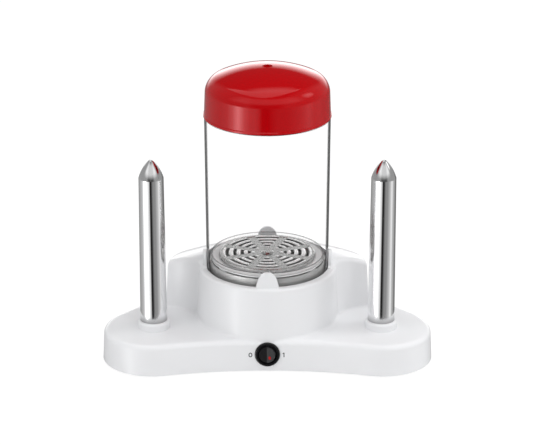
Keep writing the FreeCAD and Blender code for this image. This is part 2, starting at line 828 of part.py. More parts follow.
def thermostat():
    """Bimetal disc thermostat with two blade terminals."""
    top = heat_plate_bottom
    can = spin_points([(0, top - 6.5), (thermostat_radius - 1.2, top - 6.5), (thermostat_radius - 1.2, top - 2.0),
                       (thermostat_radius, top - 2.0), (thermostat_radius, top), (0, top)])
    blades = [Part.makeBox(0.8, 5.0, 8.0, V(side * 4.0 - 0.4, -2.5, top - 13.5)) for side in (1, -1)]
    return moved(fuse_all([can] + blades), 0, thermostat_y, 0)


def thermal_fuse():
    """Fuse cartridge held to the spreader by a saddle clip."""
    axis_height = heat_plate_bottom - fuse_radius
    body = Part.makeCylinder(fuse_radius, fuse_length, V(-fuse_length / 2, fuse_y, axis_height), X_AXIS)
    lead = Part.makeCylinder(0.5, fuse_length + 12, V(-fuse_length / 2 - 6, fuse_y, axis_height), X_AXIS)
    saddle = Part.makeBox(6.0, 2 * fuse_radius + 9, 1.0, V(-3.0, fuse_y - fuse_radius - 4.5, heat_plate_bottom - 1.0))
    hoop = Part.makeCylinder(fuse_radius + 0.9, 6.0, V(-3.0, fuse_y, axis_height), X_AXIS)
    hoop = hoop.common(Part.makeBox(6.0, 12.0, 12.0, V(-3.0, fuse_y - 6.0, heat_plate_bottom - 12.0)))
    return fuse_all([body, lead, saddle, hoop])


# ---------------------------------------------------------------- clear cylinder, lid, tray, grid

def glass_cylinder():
    foot = glass_foot_radius
    inner = foot - glass_wall
    body = spin_points([(inner, seat_height), (foot, seat_height), (glass_top_radius, glass_height),
                        (glass_top_radius - glass_wall, glass_height)])
    edge = glass_wall * 0.3
    return round_rings(body, [(glass_top_radius, glass_height, edge), (glass_top_radius - glass_wall, glass_height, edge),
                              (foot, seat_height, edge)])


def lid_outline(inset):
    """Outer or inner edge of the lid, from the rim to the crown, as points and arc centres."""
    side = lid_shoulder_side_radius - inset
    round_radius = lid_shoulder_radius - inset
    centre_r = side - round_radius
    centre_z = lid_shoulder_start
    crown = lid_crown - inset
    rise = crown - centre_z
    dome = (centre_r ** 2 + rise ** 2 - round_radius ** 2) / (2 * (rise - round_radius))
    dome_z = crown - dome
    turn = math.atan2(centre_z - dome_z, centre_r)
    join = rz(centre_r + round_radius * math.cos(turn), centre_z + round_radius * math.sin(turn))
    half = turn / 2
    bend = rz(centre_r + round_radius * math.cos(half), centre_z + round_radius * math.sin(half))
    high = (turn + math.pi / 2) / 2
    dome_mid = rz(dome * math.cos(high), dome_z + dome * math.sin(high))
    return rz(side, centre_z), bend, join, dome_mid, rz(0, crown)


def lid():
    rim = glass_height
    bead_top = rim + lid_bead_height
    plug = glass_top_radius - glass_wall - lid_plug_gap
    plug_inner = plug - lid_wall
    plug_foot = rim - lid_plug_depth
    plug_top = rim + lid_plug_height
    start, bend, join, dome_mid, crown = lid_outline(0)
    in_start, in_bend, in_join, in_dome_mid, in_crown = lid_outline(lid_wall)
    low_side = rz(lid_side_radius, bead_top + 0.6)
    wire = Part.Wire([
        line(rz(plug_inner, plug_foot), rz(plug, plug_foot)),
        line(rz(plug, plug_foot), rz(plug, rim)),
        line(rz(plug, rim), rz(lid_rim_radius, rim)),
        line(rz(lid_rim_radius, rim), rz(lid_rim_radius, bead_top)),
        line(rz(lid_rim_radius, bead_top), low_side),
        line(low_side, start),
        arc(start, bend, join),
        arc(join, dome_mid, crown),
        line(crown, in_crown),
        arc(in_crown, in_dome_mid, in_join),
        arc(in_join, in_bend, in_start),
        line(in_start, rz(plug_inner, plug_top)),
        line(rz(plug_inner, plug_top), rz(plug_inner, plug_foot)),
    ])
    body = spin(wire)
    well_floor = lid_crown - vent_recess_depth
    boss = post(vent_recess_radius + 1.5, well_floor - lid_wall, lid_crown - lid_wall / 2)
    body = body.fuse(boss)
    body = body.cut(post(vent_recess_radius, well_floor, lid_crown + 1))
    return body.cut(post(vent_radius, well_floor - 2 * lid_wall, lid_crown + 1))


def steam_tray():
    """Clear ring that stands in the boiler dish and carries the grid."""
    floor_top = tray_floor + tray_floor_thickness
    fence = grid_radius + 0.3
    ring = spin_points([(tray_hole_radius, tray_floor), (tray_rim_radius, tray_floor),
                        (tray_rim_radius, tray_rim_height), (tray_rim_radius - tray_rim_wall, tray_rim_height),
                        (tray_rim_radius - tray_rim_wall, floor_top), (fence + 1.0, floor_top),
                        (fence + 1.0, floor_top + tray_fence_height), (fence, floor_top + tray_fence_height),
                        (fence, floor_top), (tray_hole_radius, floor_top)])
    ring = round_rings(ring, [(tray_rim_radius, tray_rim_height, 0.5), (tray_rim_radius, tray_floor, 0.8),
                              (tray_rim_radius - tray_rim_wall, tray_rim_height, 0.5)])
    outer = dish_rim_radius - dish_sheet - 0.5
    inner = outer - tray_foot_thickness
    leg = spin(polygon([rz(inner, dish_step), rz(outer, dish_step), rz(outer, tray_floor + 0.5),
                        rz(inner, tray_floor + 0.5)]), angle=tray_foot_span)
    legs = []
    for turn in (tray_foot_angle, 180 - tray_foot_angle, 180 + tray_foot_angle, -tray_foot_angle):
        foot = leg.copy()
        foot.rotate(ORIGIN, Z_AXIS, turn - tray_foot_span / 2)
        legs.append(foot)
    return fuse_all([ring] + legs)


def steam_grid():
    """Pressed disc: rings of slots between spokes, a rolled skirt and a centre boss."""
    foot = tray_floor + tray_floor_thickness
    top = foot + grid_skirt_height
    under = top - grid_sheet
    disc = spin_points([(0, under), (grid_radius - grid_sheet, under), (grid_radius - grid_sheet, foot),
                        (grid_radius, foot), (grid_radius, top), (grid_radius - grid_rim_land, top),
                        (grid_radius - grid_rim_land - 0.4, top - 0.3), (0, top - 0.3)])
    disc = round_rings(disc, [(grid_radius, top, grid_sheet * 0.7)])
    boss = spin_points([(0, under), (grid_boss_radius, under), (grid_boss_radius, top - 0.3),
                        (grid_boss_radius - 1.5, top - 0.3 + grid_boss_height), (0, top - 0.3 + grid_boss_height)])
    bars = []
    for index in range(grid_spoke_count // 2):
        bar = Part.makeBox(3 * grid_radius, grid_spoke_width, 6, V(-1.5 * grid_radius, -grid_spoke_width / 2, under - 2))
        bar.rotate(ORIGIN, Z_AXIS, (index + 0.5) * 360.0 / grid_spoke_count)
        bars.append(bar)
    slots = []
    for radius in grid_slot_radii:
        ring = tube(radius + grid_slot_width / 2, radius - grid_slot_width / 2, under - 1, top + 1)
        slots.append(cut_all(ring, bars))
    return cut_all(disc, slots).fuse(boss)


# ---------------------------------------------------------------- rocker switch

def pivot_pin(radius, reach):
    return Part.makeCylinder(radius, 2 * reach, V(0, rocker_pivot_depth, -reach), Z_AXIS)


def switch_body():
    """Round bezel, snap-in barrel and closed back, in one moulding."""
    bezel = inward(bezel_radius, bezel_thickness, 0)
    lip = [e for e in bezel.Edges if abs(middle(e).y + bezel_thickness) < 0.01]
    bezel = bezel.makeFillet(bezel_thickness * 0.6, lip)
    body = bezel.fuse(inward(switch_barrel_radius, 0, switch_barrel_depth))
    body = body.cut(inward(bezel_opening_radius, bezel_thickness + 1, switch_barrel_depth - 5.0))
    body = body.cut(pivot_pin(rocker_pin_radius + rocker_pin_gap, switch_barrel_radius - 0.3))
    clip = Part.makeBox(5.0, 7.0, 1.6, V(-2.5, wall + 0.6, switch_barrel_radius - 0.6))
    flip = clip.mirror(ORIGIN, Z_AXIS)
    return switch_frame(fuse_all([body, clip, flip]))


def rocker_blank():
    """Ball with a two-slope face, before it is tilted to its OFF rest."""
    pivot = V(0, rocker_pivot_depth, 0)
    ball = Part.makeSphere(rocker_ball_radius, pivot)
    reach = 2 * rocker_ball_radius
    drop = reach * math.tan(math.radians(rocker_face_angle))
    face = rocker_pivot_depth - rocker_face_height
    back = rocker_pivot_depth + rocker_ball_radius * 0.55
    outline = [V(0, face, -reach), V(reach, face - drop, -reach), V(reach, back, -reach), V(-reach, back, -reach),
               V(-reach, face - drop, -reach)]
    block = Part.Face(polygon(outline)).extrude(V(0, 0, 2 * reach))
    return ball.common(block).fuse(pivot_pin(rocker_pin_radius, switch_barrel_radius - 0.6))


def lens_blank(gap):
    """Oval window of the pilot lamp, in line with the untilted rocker's face."""
    slope = math.tan(math.radians(rocker_face_angle))
    face = rocker_pivot_depth - rocker_face_height - lens_x * slope
    oval = Part.Ellipse(V(0, 0, 0), lens_half_height + gap, lens_half_width + gap)
    window = Part.Face(Part.Wire([oval.toShape()]))
    window.rotate(ORIGIN, Z_AXIS, 90)
    window.rotate(ORIGIN, X_AXIS, 90)
    window.translate(V(lens_x, face + lens_depth, lens_z))
    return window.extrude(V(0, -lens_depth - 0.25 if gap == 0 else -lens_depth - 2, 0))


def rest_tilt(shape):
    """Tilt about the pivot so that the OFF half is pressed in."""
    shape = shape.copy()
    shape.rotate(V(0, rocker_pivot_depth, 0), Z_AXIS, -rocker_tilt)
    return switch_frame(shape)


def switch_terminals():
    """Blade terminals at the back of the switch."""
    blades = []
    for index in range(blade_count):
        z = (index - (blade_count - 1) / 2) * 5.6
        blades.append(Part.makeBox(6.0, 8.5, 0.8, V(-3.0, switch_barrel_depth, z - 0.4)))
    return switch_frame(Part.makeCompound(blades))


# ---------------------------------------------------------------- inlet and terminal block

def cord_gland():
    """Rubber bush in the rear wall, with a flange on each side of it."""
    outer_face = gland_y - gland_pocket + gland_flange
    neck_end = gland_y - wall - 0.5
    inner_face = neck_end - 1.5
    bush = Part.makeCylinder(gland_flange_radius, gland_flange, V(0, outer_face - gland_flange, gland_height), Y_AXIS)
    bush = bush.fuse(Part.makeCylinder(gland_radius, outer_face - inner_face, V(0, inner_face, gland_height), Y_AXIS))
    bush = bush.fuse(Part.makeCylinder(gland_radius + 1.6, neck_end - inner_face, V(0, inner_face, gland_height), Y_AXIS))
    return bush.cut(Part.makeCylinder(gland_bore_radius, 40.0, V(0, inner_face - 20, gland_height), Y_AXIS))


def terminal_block():
    """Three-way block on the base plate, with wire holes and screw wells."""
    body = Part.makeBox(block_length, block_depth, block_height, V(-block_length / 2, block_y - block_depth / 2, plate_top))
    cuts = []
    for index in range(3):
        x = (index - 1) * block_pitch
        cuts.append(Part.makeCylinder(2.0, block_depth + 2, V(x, block_y - block_depth / 2 - 1, plate_top + 4.5), Y_AXIS))
        cuts += [post(2.3, plate_top + 7.5, plate_top + block_height + 1, x, block_y + step) for step in (-4.0, 4.0)]
    for index in range(2):
        x = (index - 0.5) * block_pitch
        cuts.append(post(1.6, plate_top - 1, plate_top + block_height + 1, x, block_y))
    return cut_all(body, cuts)


# ---------------------------------------------------------------- the assembly

def build():
    spikes = both_sides(spike())
    flanges = both_sides(spike_flange())
    heaters = both_sides(spike_heater())
    rocker = rocker_blank().cut(lens_blank(0.02))
    strap_places = [(strap_screw_x, 0.0), (-strap_screw_x, 0.0)]
    members = moulding_members()
    return members | {
        "base_plate": base_plate(),
        "rubber_feet": rubber_feet(),
        "base_screws": screws(plate_screw_places(), plate_bottom, screw_length),
        "spike_right": spikes[0],
        "spike_left": spikes[1],
        "spike_flange_right": flanges[0],
        "spike_flange_left": flanges[1],
        "spike_heater_right": heaters[0],
        "spike_heater_left": heaters[1],
        "flange_screws": screws(flange_screw_places(), flange_height, screw_length - 1.5),
        "boiler_dish": boiler_dish(),
        "dish_gasket": dish_gasket(),
        "heat_plate": heat_plate(),
        "heating_element": heating_element(),
        "element_strap": element_strap(),
        "strap_screws": screws(strap_places, strap_foot_height, screw_length),
        "thermostat": thermostat(),
        "thermal_fuse": thermal_fuse(),
        "switch_body": switch_body(),
        "switch_rocker": rest_tilt(rocker),
        "switch_lens": rest_tilt(lens_blank(0)),
        "switch_terminals": switch_terminals(),
        "cord_gland": cord_gland(),
        "terminal_block": terminal_block(),
        "clear_cylinder": glass_cylinder(),
        "lid": lid(),
        "steam_tray": steam_tray(),
        "steam_grid": steam_grid(),
    }


os.makedirs("parts", exist_ok=True)
for node, shape in build().items():
    print(node, "solids", len(shape.Solids), "valid", shape.isValid(), "volume", round(shape.Volume))
    shape.exportStep("parts/" + node + ".step")
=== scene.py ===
# %% [markdown]
# # A hot dog toaster, dressed in Blender
# The toaster arrives as exact solids: a white moulded base, a clear steam cylinder with a red
# lid, and two polished spikes. This notebook gives each solid the finish of the real thing and
# adds the small things that solids leave out. It starts by loading the solids, with a helper that
# measures the box of any one of them, as later steps need some of their sizes.

# %% Load the solids
import math

import bmesh
import bpy
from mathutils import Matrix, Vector


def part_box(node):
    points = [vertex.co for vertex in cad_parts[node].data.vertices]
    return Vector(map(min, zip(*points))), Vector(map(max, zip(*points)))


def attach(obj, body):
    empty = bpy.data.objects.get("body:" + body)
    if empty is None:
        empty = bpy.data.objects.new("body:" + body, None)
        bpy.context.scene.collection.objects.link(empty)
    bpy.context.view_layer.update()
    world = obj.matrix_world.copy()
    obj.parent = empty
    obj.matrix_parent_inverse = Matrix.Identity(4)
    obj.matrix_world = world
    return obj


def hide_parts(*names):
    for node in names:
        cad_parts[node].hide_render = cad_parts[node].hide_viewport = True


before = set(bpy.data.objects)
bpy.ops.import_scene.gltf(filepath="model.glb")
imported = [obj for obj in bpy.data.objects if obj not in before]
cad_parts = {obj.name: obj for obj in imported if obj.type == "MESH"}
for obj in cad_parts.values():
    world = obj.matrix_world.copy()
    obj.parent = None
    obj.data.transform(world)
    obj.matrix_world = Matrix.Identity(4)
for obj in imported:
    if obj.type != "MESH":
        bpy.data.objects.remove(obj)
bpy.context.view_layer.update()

# %% [markdown]
# ## Shader sums that read like sums
# A finish is a small program: a bump here is a noise times a strength, a mask is one minus
# another mask. Blender wants a node for each operation, which hides the sum in wiring. Wrapping a
# socket in a class whose operators add the nodes keeps the sum readable. Python works out
# anything that is only numbers before a node is made.

# %% A value that adds its own Math nodes
class Flow:
    """The output of a shader node. Sums on it add Math nodes to the same tree."""

    def __init__(self, tree, socket):
        self.tree = tree
        self.socket = socket

    def maths(self, operation, *values):
        return self.tree.node("ShaderNodeMath", {"operation": operation}, dict(enumerate(values)))

    def __add__(self, other):
        return self.maths("ADD", self, other)

    def __sub__(self, other):
        return self.maths("SUBTRACT", self, other)

    def __mul__(self, other):
        return self.maths("MULTIPLY", self, other)

    def __truediv__(self, other):
        return self.maths("DIVIDE", self, other)

    def __rsub__(self, other):
        return self.maths("SUBTRACT", other, self)

    __radd__ = __add__
    __rmul__ = __mul__

    def clipped(self):
        return self.maths("MINIMUM", self.maths("MAXIMUM", self, 0.0), 1.0)

    def output(self, name):
        """Another output of the node that this value comes from."""
        return Flow(self.tree, self.socket.node.outputs[name])


class Tree:
    """A node tree, with one way to add any node to it."""

    def __init__(self, owner):
        owner.use_nodes = True
        self.nodes = owner.node_tree.nodes
        self.links = owner.node_tree.links

    def feed(self, socket, value):
        """Link or set one socket. A list is linked value by value, to a socket that takes many."""
        if isinstance(value, list):
            for one in value:
                self.feed(socket, one)
        elif isinstance(value, Flow):
            self.links.new(value.socket, socket)
        else:
            socket.default_value = value

    def node(self, kind, settings=None, inputs=None, output=0):
        """Add a node of a kind, with its settings first and then its inputs."""
        made = self.nodes.new(kind)
        for name, value in (settings or {}).items():
            if name == "stops":
                fill_ramp(made.color_ramp, value)
            else:
                setattr(made, name, value)
        for key, value in (inputs or {}).items():
            self.feed(made.inputs[key], value)
        return Flow(self, made.outputs[output]) if made.outputs else None


def fill_ramp(ramp, stops):
    """Give a colour ramp its stops, as pairs of a position and a grey."""
    while len(ramp.elements) > 1:
        ramp.elements.remove(ramp.elements[-1])
    for index, (place, grey) in enumerate(stops):
        stop = ramp.elements[0] if index == 0 else ramp.elements.new(place)
        stop.position = place
        stop.color = (grey, grey, grey, 1.0)


print("shader helpers ready")

# %% [markdown]
# ## Finishes
# Every finish is a Principled shader with constant values on its own sockets. Only what changes
# over the surface comes through nodes, and all of it reads Object coordinates, so a pattern
# keeps its real size in metres and stays put when the piece moves.

# %% The start of every finish
class Finish(Tree):
    """One material, with its Principled shader and its Object coordinates."""

    def __init__(self, name, colour, **constants):
        self.material = bpy.data.materials.new(name)
        super().__init__(self.material)
        self.shader = self.nodes["Principled BSDF"]
        self.shader.inputs["Base Color"].default_value = (*colour, 1.0)
        for socket, value in constants.items():
            self.shader.inputs[socket.replace("_", " ")].default_value = value
        self.place = self.node("ShaderNodeTexCoord", output="Object")

    def noise(self, scale, detail=2.0, where=None):
        return self.node("ShaderNodeTexNoise", {},
                         {"Vector": where or self.place, "Scale": scale, "Detail": detail})

    def mix(self, factor, first, second):
        """A colour between two. Inputs 6 and 7 and output 2 are the node's colour sockets."""
        return self.node("ShaderNodeMix", {"data_type": "RGBA"},
                         {0: factor, 6: (*first, 1.0), 7: (*second, 1.0)}, output=2)

    def to(self, socket, value):
        self.feed(self.shader.inputs[socket], value)

    def bump(self, height, distance):
        self.to("Normal", self.node("ShaderNodeBump", {}, {"Height": height, "Distance": distance}))

    def parts(self):
        """X, Y and Z of the Object coordinates."""
        split = self.node("ShaderNodeSeparateXYZ", {}, {0: self.place})
        return [split.output(axis) for axis in "XYZ"]

    def height_and_reach(self):
        """Height above the table, and distance from the Z axis."""
        x, y, z = self.parts()
        square = x * x + y * y
        return z, square.maths("SQRT", square)

    def around(self, scale):
        """Coordinates that run round the Z axis: the turn times a scale, height and radius."""
        x, y, _ = self.parts()
        height, reach = self.height_and_reach()
        turn = x.maths("ARCTAN2", y, x)
        return self.node("ShaderNodeCombineXYZ", {}, {"X": turn * scale, "Y": height, "Z": reach})


print("finish helper ready")

# %% [markdown]
# ## Plastics and rubber
# The white base, the red lid and the switch are injection-moulded. Such a surface has one even
# colour. What makes it look real is its gloss, which strays a little over a few centimetres, and
# a grain that is too fine to see on its own. An image could hold both, but noise in metres needs
# no file and never repeats. One function gives both, so each plastic takes one line. The white
# base also has a thin glossy coat over a duller body, as a polished mould leaves.

# %% Plastics and rubber
PATCHES = 24.0                  # patches of more or less gloss, to the metre
GLOSS_SPREAD = 0.08             # how far the roughness strays in all


def moulded(name, colour, rough, grain_size, grain_depth, **constants):
    """Injection-moulded plastic: an even colour, with a fine unevenness in its gloss."""
    finish = Finish(name, colour, Roughness=rough, **constants)
    patchy = finish.noise(PATCHES, 3.0)
    finish.to("Roughness", patchy * GLOSS_SPREAD + (rough - GLOSS_SPREAD / 2))
    finish.bump(finish.noise(1.0 / grain_size, 4.0), grain_depth)
    return finish


white_shell = moulded("white_shell", (0.83, 0.835, 0.85), 0.34, 0.0006, 0.000006,
                      Coat_Weight=0.28, Coat_Roughness=0.07, Specular_IOR_Level=0.25)
grey_plate = moulded("grey_plate", (0.42, 0.43, 0.45), 0.55, 0.0004, 0.00003)
red_lid = moulded("red_lid", (0.44, 0.001, 0.003), 0.07, 0.0012, 0.000001,
                  Specular_IOR_Level=0.68, Specular_Tint=(1.0, 0.5, 0.52, 1.0))
black_bezel = moulded("black_bezel", (0.008, 0.008, 0.009), 0.15, 0.0005, 0.000008)
black_rocker = moulded("black_rocker", (0.010, 0.010, 0.011), 0.30, 0.0003, 0.000012)
red_lens = moulded("red_lens", (0.42, 0.002, 0.002), 0.08, 0.0010, 0.000003)
foot_rubber = moulded("foot_rubber", (0.025, 0.025, 0.026), 0.75, 0.0003, 0.00003)
gasket_rubber = moulded("gasket_rubber", (0.05, 0.05, 0.052), 0.6, 0.0003, 0.00002)
grey_ink = moulded("grey_ink", (0.07, 0.07, 0.075), 0.5, 0.0002, 0.000002)
block_plastic = moulded("block_plastic", (0.70, 0.69, 0.63), 0.5, 0.0004, 0.00001)
dish_silicone = moulded("dish_silicone", (0.42, 0.42, 0.42), 0.5, 0.0003, 0.00001)
heater_ceramic = moulded("heater_ceramic", (0.68, 0.65, 0.58), 0.7, 0.0003, 0.00003)
print("plastics ready")

# %% [markdown]
# ## Metals
# Metal shows how it was made. The pan is spun, so fine lines run round it. The grid, the screws
# and the brackets are pressed or plated, which leaves a faint cloudiness. The spikes are drawn and
# polished tube, so their gloss is stretched along their length. Their feet get painted shade, a
# darker colour where they meet the white collars, which would otherwise wash them out with their
# light. The noise sets roughness and bump together, as a real scratch changes both.

# %% Metals
TURN_SCALE = 0.004              # small, so that the streaks run far round the axis
STREAK_SPREAD = 0.16            # how far brushing makes the roughness stray
CLOUDS, CLOUD_SPREAD = 160.0, 0.2               # patches to the metre on pressed sheet
SHEET_GRAIN, GRAIN_DEPTH = 2600.0, 0.000006
DRAWN_LINES, DRAWN_LENGTH = 900.0, 0.03         # the smaller the length, the longer the lines
DRAWN_SPREAD, DRAWN_DIP = 0.05, 0.02            # the stray in all, and how far below the middle
LINE_DEPTH = 0.0000012
FOOT_SHADE_BLEND = 0.007              # height over which the painted shade at the foot ends
# Painted shade at the foot of each spike: its darker colour, and how much of it is mixed in.
FOOT_SHADE, FOOT_SHADE_SHARE = (0.30, 0.30, 0.305), 0.8
collar_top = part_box("spike_collars")[1][2]


def turned_metal(name, colour, rough, streaks, depth, metallic=1.0):
    """Metal brushed round its own axis: long streaks round it, very short ones across."""
    finish = Finish(name, colour, Metallic=metallic)
    streak = finish.noise(streaks, 3.0, finish.around(TURN_SCALE))
    finish.to("Roughness", streak * STREAK_SPREAD + (rough - STREAK_SPREAD / 2))
    finish.bump(streak, depth)
    return finish


def plain_metal(name, colour, rough, metallic=1.0):
    """Pressed or plated sheet, with a faint cloudiness."""
    finish = Finish(name, colour, Metallic=metallic)
    cloud = finish.noise(CLOUDS, 4.0)
    finish.to("Roughness", cloud * CLOUD_SPREAD + (rough - CLOUD_SPREAD / 2))
    finish.bump(finish.noise(SHEET_GRAIN), GRAIN_DEPTH)
    return finish


def drawn_metal(name, colour, rough):
    """Polished tube: its gloss is drawn out along its length, and its foot gets painted shade."""
    finish = Finish(name, colour, Metallic=1.0, Anisotropic=0.75, Anisotropic_Rotation=0.25)
    stretched = finish.node("ShaderNodeMapping", {},
                            {"Vector": finish.place, "Scale": (1.0, 1.0, DRAWN_LENGTH)})
    streak = finish.noise(DRAWN_LINES, 3.0, stretched)
    finish.to("Roughness", streak * DRAWN_SPREAD + (rough - DRAWN_DIP))
    finish.bump(streak, LINE_DEPTH)
    height = finish.parts()[2]
    # Painted shade: the colour darkens towards the white collar at the foot.
    foot = 1.0 - ((height - collar_top) / FOOT_SHADE_BLEND).clipped()
    finish.to("Base Color", finish.mix(foot * FOOT_SHADE_SHARE, colour, FOOT_SHADE))
    return finish


polished_spike = drawn_metal("polished_spike", (0.90, 0.90, 0.905), 0.09)
dish_steel = turned_metal("dish_steel", (0.60, 0.60, 0.595), 0.44, 2600.0, 0.000008, metallic=0.65)
grid_steel = plain_metal("grid_steel", (0.64, 0.64, 0.635), 0.26)
# A paler, less metallic copy of the grid's steel, for a painted highlight on the lands.
land_highlight_steel = plain_metal("land_highlight_steel", (0.93, 0.93, 0.93), 0.30, metallic=0.40)
screw_steel = plain_metal("screw_steel", (0.45, 0.45, 0.46), 0.35)
pressed_steel = plain_metal("pressed_steel", (0.52, 0.52, 0.53), 0.35)
cast_aluminium = plain_metal("cast_aluminium", (0.60, 0.60, 0.61), 0.55)
element_sheath = plain_metal("element_sheath", (0.16, 0.15, 0.14), 0.5)
terminal_brass = plain_metal("terminal_brass", (0.62, 0.44, 0.16), 0.3)
print("metals ready, spikes leave their collars at", round(collar_top, 4))

# %% [markdown]
# ## Clear plastics
# A clear wall is nearly invisible seen face on, and shows as a dark line where it turns away from
# the eye. Real refraction would do that too, but it dims everything inside the cylinder and takes
# long. So that line is painted: the wall is coloured near black with very little Alpha, and Layer
# Weight raises Alpha towards the edges. Only the outer face draws that line, or it would be seen
# twice. The cut ends of the wall and the rim of the tray get painted dark lines of their own, found
# by their height. The tray's floor is pale and nearly opaque, partly a frosted floor and partly a
# painted reflection of the bright room.

# %% Clear plastics
GLASS_FOOT_RADIUS, GLASS_TOP_RADIUS = 0.05756, 0.0587
HALF_WALL = 0.001                               # from the outer face to the middle of the wall
# The wall's dark lines are painted: a near-black colour, with Alpha rising where it should look
# dark.
EDGE_STOPS = [(0.70, 0.008), (0.77, 0.80), (1.0, 0.90)]     # how far it turns away, and Alpha
TOP_LINE, FOOT_LINE, FAINT = 0.6, 0.35, 0.004   # Alpha at the two ends and seen face on
TOP_BAND, FOOT_BAND = 0.0011, 0.0009            # heights of the two lines
TRAY_BODY, PAINTED_RIM_LINE = (0.93, 0.935, 0.94), (0.06, 0.06, 0.062)
FLOOR_ALPHA, RIM_ALPHA, WALL_ALPHA = 0.80, 0.55, 0.05       # of the tray's faces
TRAY_FLOOR, RIM_BAND = 0.0892, 0.0004           # just above the floor, and depth of the rim line
glass_foot, glass_top = (corner[2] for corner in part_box("clear_cylinder"))
tray_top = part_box("steam_tray")[1][2]


def above(place, level, blur=0.0002):
    """0 below a level and 1 above it, with a short ramp between."""
    return ((place - level) / blur + 0.5).clipped()


clear_wall = Finish("clear_wall", (0.035, 0.035, 0.037), Roughness=0.06)
height, reach = clear_wall.height_and_reach()
slope = (GLASS_TOP_RADIUS - GLASS_FOOT_RADIUS) / (glass_top - glass_foot)
outer_face = above(reach - height * slope, GLASS_FOOT_RADIUS - glass_foot * slope - HALF_WALL)
facing = clear_wall.node("ShaderNodeLayerWeight", {}, {"Blend": 0.5}, output="Facing")
# Painted dark lines: where the wall turns away from the eye, and along its cut top and foot.
painted_edge_line = clear_wall.node("ShaderNodeValToRGB", {"stops": EDGE_STOPS}, {"Fac": facing})
painted_top_line = above(height, glass_top - TOP_BAND) * TOP_LINE
painted_foot_line = (1.0 - above(height, glass_foot + FOOT_BAND)) * FOOT_LINE
clear_wall.to("Alpha", (outer_face * painted_edge_line + painted_top_line + painted_foot_line + FAINT).clipped())

clear_tray = Finish("clear_tray", TRAY_BODY, Roughness=0.05)
height = clear_tray.parts()[2]
# Pale, nearly opaque floor: partly a frosted floor, partly a painted reflection of the bright room.
on_floor = 1.0 - above(height, TRAY_FLOOR)
# Painted dark line along the top of the rim, standing in for how light bends at a clear edge.
on_rim = above(height, tray_top - RIM_BAND)
clear_tray.to("Base Color", clear_tray.mix(on_rim, TRAY_BODY, PAINTED_RIM_LINE))
clear_tray.to("Alpha", (on_floor * FLOOR_ALPHA + on_rim * RIM_ALPHA + WALL_ALPHA).clipped())
print("cylinder and tray end at", [round(v, 4) for v in (glass_foot, glass_top, tray_top)])

# %% [markdown]
# ## Finishes on the solids
# Each solid is made of one material, so it gets one finish. A table keeps the choice in one place,
# and a solid that isn't in it stops the script at once.

# %% Give every solid its finish
finish_of = {
    "housing": white_shell, "housing_drum": white_shell, "housing_shoulder": white_shell,
    "housing_rear": white_shell, "spike_collars": white_shell, "cylinder_seat": white_shell,
    "base_plate": grey_plate, "rubber_feet": foot_rubber,
    "base_screws": screw_steel, "flange_screws": screw_steel, "strap_screws": screw_steel,
    "spike_right": polished_spike, "spike_left": polished_spike,
    "spike_flange_right": pressed_steel, "spike_flange_left": pressed_steel,
    "spike_heater_right": heater_ceramic, "spike_heater_left": heater_ceramic,
    "boiler_dish": dish_steel, "dish_gasket": dish_silicone, "heat_plate": cast_aluminium,
    "heating_element": element_sheath, "element_strap": pressed_steel, "thermostat": pressed_steel,
    "thermal_fuse": block_plastic, "switch_body": black_bezel, "switch_rocker": black_rocker,
    "switch_lens": red_lens, "switch_terminals": terminal_brass, "cord_gland": gasket_rubber,
    "terminal_block": block_plastic, "clear_cylinder": clear_wall, "lid": red_lid,
    "steam_tray": clear_tray, "steam_grid": grid_steel,
}
for node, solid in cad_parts.items():
    solid.data.materials.clear()
    solid.data.materials.append(finish_of[node].material)
print("finished solids:", len(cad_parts), "finishes:", len(set(finish_of.values())))

# %% [markdown]
# ## Pieces that repeat
# The grid has the same rounded lands in every sector, and the base has the same screw in six
# places. Geometry Nodes is made for that: the shape is drawn once, the tree copies it, and its
# sizes stay as named inputs. The result is kept as a plain mesh, so nothing is worked out twice.

# %% A Geometry Nodes tree with named sizes
class Recipe(Tree):
    """Geometry Nodes that turn one small mesh into a finished piece."""

    def __init__(self, name, **sizes):
        self.group = bpy.data.node_groups.new(name, "GeometryNodeTree")
        self.nodes = self.group.nodes
        self.links = self.group.links
        self.sizes = sizes
        sockets = self.group.interface
        sockets.new_socket("Geometry", in_out="OUTPUT", socket_type="NodeSocketGeometry")
        sockets.new_socket("Geometry", in_out="INPUT", socket_type="NodeSocketGeometry")
        for size in sizes:
            sockets.new_socket(size, in_out="INPUT", socket_type="NodeSocketFloat")
        self.start = self.node("NodeGroupInput")

    def given(self, name="Geometry"):
        """The start mesh, or the size of a name."""
        return self.start.output(name)

    def end(self, shape, finish):
        """Make the copies real, give them a finish and hand them out."""
        real = self.node("GeometryNodeRealizeInstances", {}, {0: shape})
        dressed = self.node("GeometryNodeSetMaterial", {},
                            {"Geometry": real, "Material": finish.material})
        self.node("NodeGroupOutput", {}, {0: dressed})

    def piece(self, name, start_mesh):
        """Run the tree on a mesh, and keep what comes out as a plain mesh."""
        made = bpy.data.objects.new(name, start_mesh)
        bpy.context.scene.collection.objects.link(made)
        modifier = made.modifiers.new("recipe", "NODES")
        modifier.node_group = self.group
        for socket in self.group.interface.items_tree:
            if socket.name in self.sizes:
                modifier[socket.identifier] = self.sizes[socket.name]
        keep_plain(made, modifier)
        return made


def keep_plain(made, modifier):
    """Swap an object's mesh for what its modifier makes of it, and drop the modifier."""
    ready = made.evaluated_get(bpy.context.evaluated_depsgraph_get())
    plain = bpy.data.meshes.new_from_object(ready)
    made.modifiers.remove(modifier)
    made.data = plain


print("recipe helper ready")

# %% [markdown]
# ## Rolled lands of the grid
# The punch that cuts the slots also presses the steel between them up into smooth rounded lands,
# while the spokes stay flat. That is why the lands catch the light and the spokes look dark. Bump
# could only fake this, so the domes are real. Their steel is a paler, less metallic copy of the
# grid's, a painted highlight on top of the light they really catch. One sector's lands are drawn as
# closed strips with a domed section, and the tree turns eight copies about the centre.

